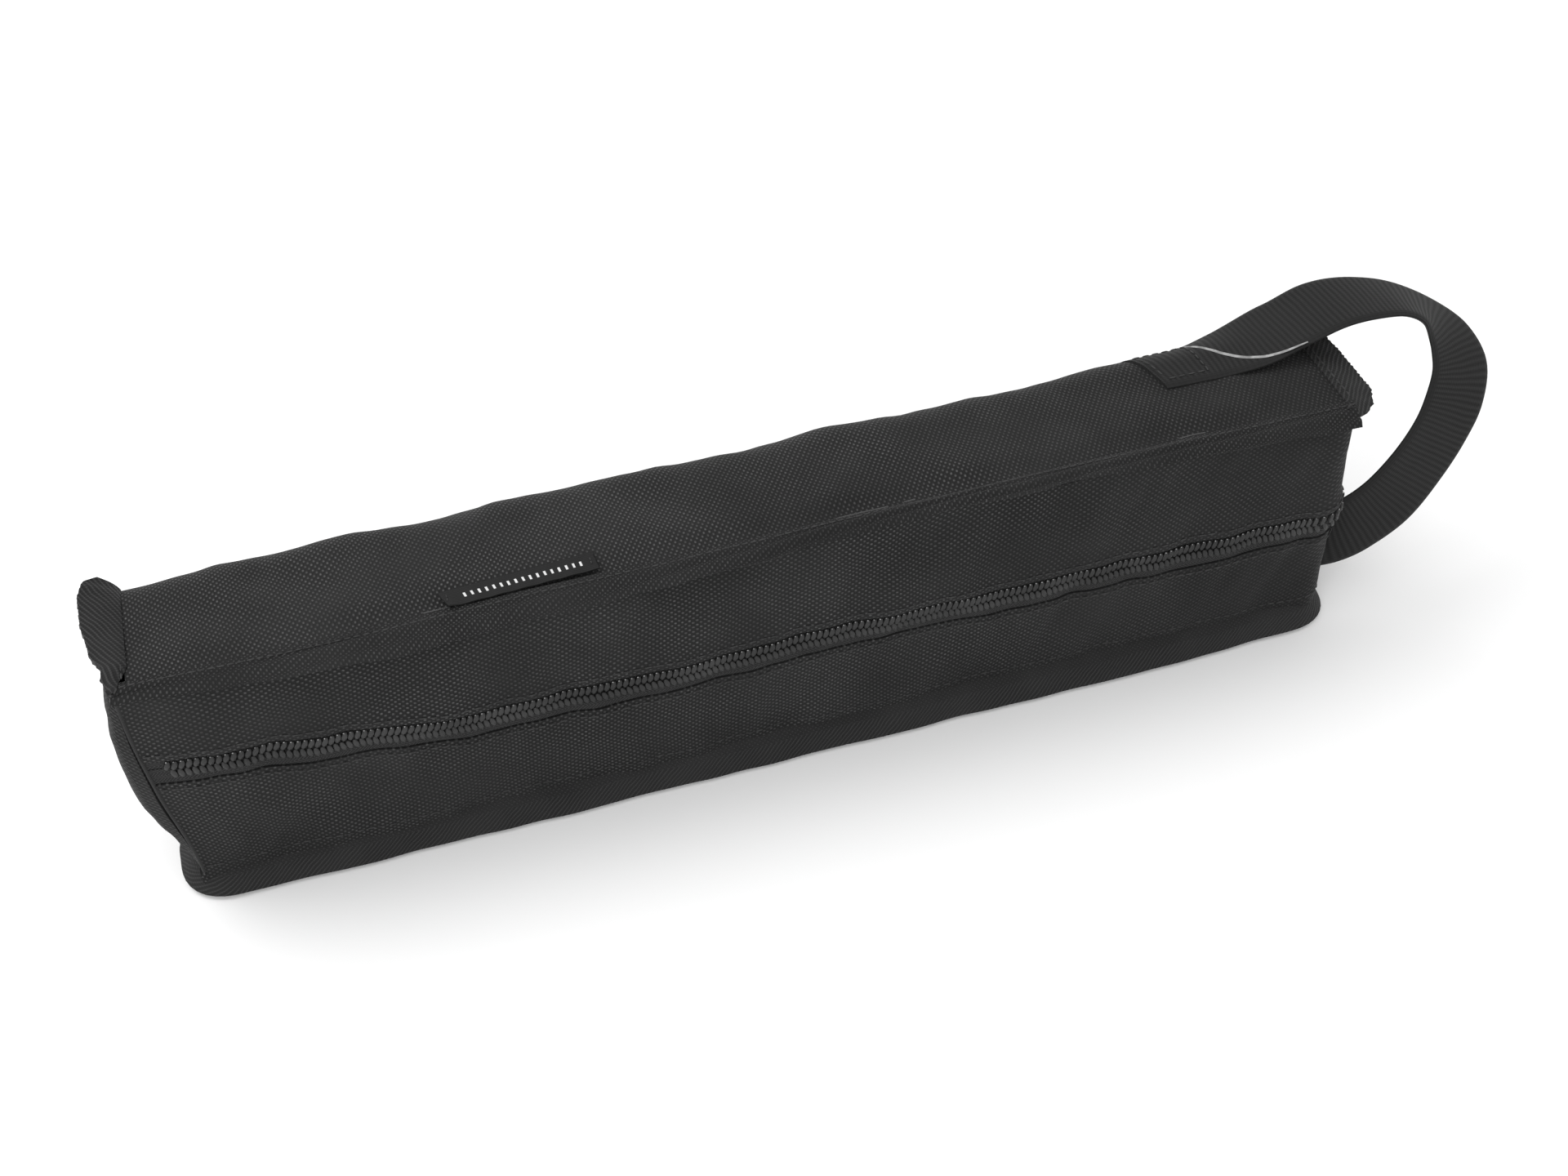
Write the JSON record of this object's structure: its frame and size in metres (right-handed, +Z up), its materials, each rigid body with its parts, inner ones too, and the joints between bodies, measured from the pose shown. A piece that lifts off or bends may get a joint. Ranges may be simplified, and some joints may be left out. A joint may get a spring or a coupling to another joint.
{
  "type": "padded zip case",
  "caption": "Long padded fabric case with a zip mouth along its front, bound seams and a webbing wrist strap on one end.",
  "frame": {"origin": "middle of the flat bottom face that the case rests on", "axes": "+X along the length towards the end with the strap, +Y from the zip face to the back, +Z up"},
  "size_m": [0.3947, 0.055, 0.0901],
  "materials": {
    "outer_fabric": "coarse woven nylon",
    "foam": "closed foam",
    "lining": "fine woven lining",
    "binding_tape": "herringbone tape",
    "zip_tape": "herringbone tape",
    "zip_coil": "satin nylon coil",
    "webbing": "ribbed webbing",
    "label": "satin woven label",
    "thread": "sewing thread",
    "slider_metal": "satin black"
  },
  "bodies": {
    "case": {"main_panel": "outer_fabric", "main_lining": "lining", "top_foam": "foam", "back_foam": "foam", "bottom_foam": "foam", "left_end_panel": "outer_fabric", "left_end_foam": "foam", "left_end_lining": "lining", "right_end_panel": "outer_fabric", "right_end_foam": "foam", "right_end_lining": "lining", "left_corner_bands": "outer_fabric", "left_corner_lining": "lining", "right_corner_upper_band": "outer_fabric", "right_corner_lower_band": "outer_fabric", "right_corner_lining": "lining", "corner_zip_tapes": "zip_tape", "corner_zip_coils": "zip_coil", "zip_end_stop": "slider_metal", "left_end_binding": "binding_tape", "right_end_binding": "binding_tape", "left_seam_binding": "binding_tape", "bottom_front_binding": "binding_tape", "woven_label": "label", "label_stitches": "thread", "wrist_strap": "webbing", "strap_top_stitches": "thread", "strap_end_stitches": "thread"},
    "upper_flap": {"upper_band": "outer_fabric", "upper_band_foam": "foam", "upper_band_lining": "lining", "upper_zip_tape": "zip_tape", "upper_zip_coil": "zip_coil", "top_front_binding": "binding_tape"},
    "lower_flap": {"lower_band": "outer_fabric", "lower_band_foam": "foam", "lower_band_lining": "lining", "lower_zip_tape": "zip_tape", "lower_zip_coil": "zip_coil"},
    "slider": {"slider_body": "slider_metal", "slider_bridge": "slider_metal"},
    "pull": {"pull_tab": "slider_metal"}
  },
  "joints": [
    {"name": "upper_flap_swing", "type": "hinge", "parent": "case", "child": "upper_flap", "pos_m": [0, -0.023, 0.0765], "axis": [-1, 0, 0], "range_deg": [0, 95]},
    {"name": "lower_flap_swing", "type": "hinge", "parent": "case", "child": "lower_flap", "pos_m": [0, -0.023, 0.008], "axis": [1, 0, 0], "range_deg": [0, 85]},
    {"name": "slider_travel", "type": "slide", "parent": "case", "child": "slider", "axis": [0, -1, 0], "range_m": [0, 0.008]},
    {"name": "pull_tab_swing", "type": "hinge", "parent": "slider", "child": "pull", "pos_m": [0.1681, 0.0076, 0.043], "axis": [0, 0, 1], "range_deg": [0, 115]}
  ]
}
